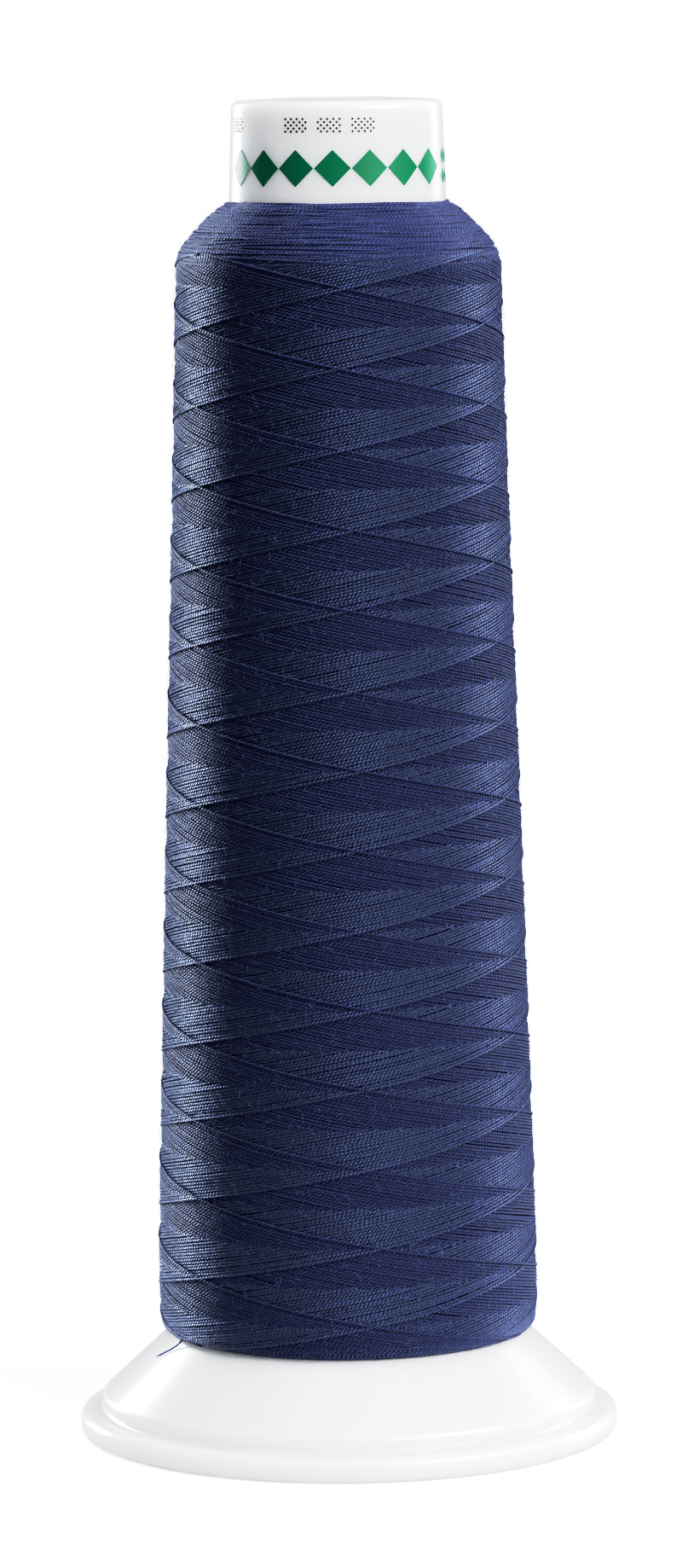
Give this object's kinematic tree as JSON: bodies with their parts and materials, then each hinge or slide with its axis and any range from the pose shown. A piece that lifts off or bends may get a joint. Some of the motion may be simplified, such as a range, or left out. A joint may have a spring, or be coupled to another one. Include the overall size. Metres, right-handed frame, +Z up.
{
  "type": "spool of thread",
  "caption": "Tall tapered spool of sewing thread: a hollow white moulded core with a flared, stepped foot and a domed neck, carrying a cross-wound navy thread package.",
  "frame": {"origin": "centre of the circle the foot stands on, at the bottom of the object", "axes": "+Z up along the spool's axis; -Y is the side that carries the green motif"},
  "size_m": [0.0662, 0.0662, 0.1636],
  "materials": {
    "core_plastic": "glossy white moulded polypropylene",
    "thread": "two-ply spun polyester thread, navy blue, slightly fuzzy",
    "motif_ink": "green pad-printed ink",
    "code_ink": "black ink-jet dots",
    "code_ink_faded": "faded grey ink-jet dots",
    "label_paper": "plain white paper label without text"
  },
  "bodies": {
    "root": {"spool_core": "core_plastic", "thread_package": "thread", "thread_tail": "thread", "inner_label": "label_paper", "front_motif": "motif_ink", "side_motif": "motif_ink", "batch_dots": "code_ink", "lot_dots": "code_ink_faded"}
  },
  "joints": []
}
